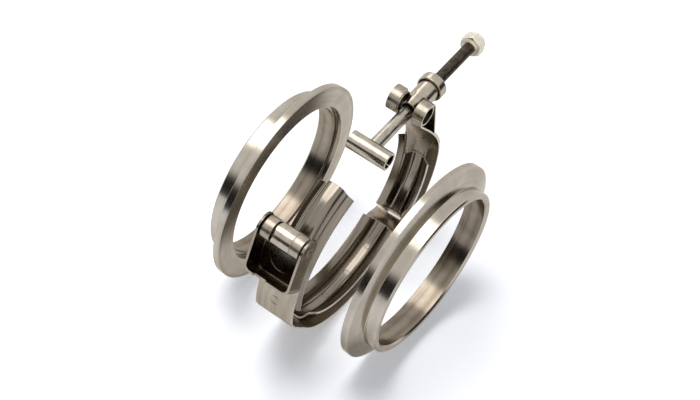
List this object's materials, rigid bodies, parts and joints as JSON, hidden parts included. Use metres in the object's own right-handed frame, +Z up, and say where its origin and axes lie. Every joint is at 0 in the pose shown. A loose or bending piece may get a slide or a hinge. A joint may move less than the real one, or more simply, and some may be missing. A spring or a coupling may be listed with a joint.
{
  "type": "v-band flange assembly",
  "caption": "Two weld flanges with wedge-shaped rims and an open steel band clamp with T-bolt, trunnion and flip-over keeper.",
  "frame": {"origin": "centre of the left flange's weld end, on the pipe axis", "axes": "+X along the pipe axis from the left flange to the right flange, +Z up as the set stands on its rims"},
  "size_m": [0.0929, 0.1569, 0.1016],
  "materials": {
    "turned_steel": "satin turned stainless steel",
    "strip_steel": "bright rolled stainless strip",
    "pressed_steel": "pressed stainless sheet",
    "formed_steel": "formed and polished stainless tube",
    "bolt_steel": "cold drawn steel, dark along its thread",
    "plated_nut": "pale plated steel"
  },
  "bodies": {
    "ring_set": {"left_flange": "turned_steel", "right_flange": "turned_steel", "band_strap": "strip_steel", "free_retainer": "pressed_steel", "bottom_retainer": "pressed_steel", "right_retainer": "pressed_steel", "latch_pin": "formed_steel", "latch_sleeve": "formed_steel"},
    "keeper": {"keeper": "pressed_steel"},
    "trunnion": {"trunnion": "formed_steel", "cup_collar": "formed_steel"},
    "t_bolt": {"t_bolt_shank": "bolt_steel", "t_head": "formed_steel"},
    "nut": {"lock_nut": "plated_nut"}
  },
  "joints": [
    {"name": "trunnion_pivot", "type": "hinge", "parent": "ring_set", "child": "trunnion", "pos_m": [0.0454, 0.03745, 0.0457], "axis": [1, 0, 0], "range_deg": [-20, 60]},
    {"name": "bolt_slide", "type": "slide", "parent": "trunnion", "child": "t_bolt", "axis": [0, 0.9993, 0.0384], "range_m": [-0.018, 0.018]},
    {"name": "nut_turn", "type": "hinge", "parent": "t_bolt", "child": "nut", "pos_m": [0.0454, 0.08848, 0.04586], "axis": [0, 0.9993, 0.0384], "continuous": true},
    {"name": "keeper_pivot", "type": "hinge", "parent": "ring_set", "child": "keeper", "pos_m": [0.0454, -0.05191, 0.04], "axis": [1, 0, 0], "range_deg": [-230, 0]}
  ]
}
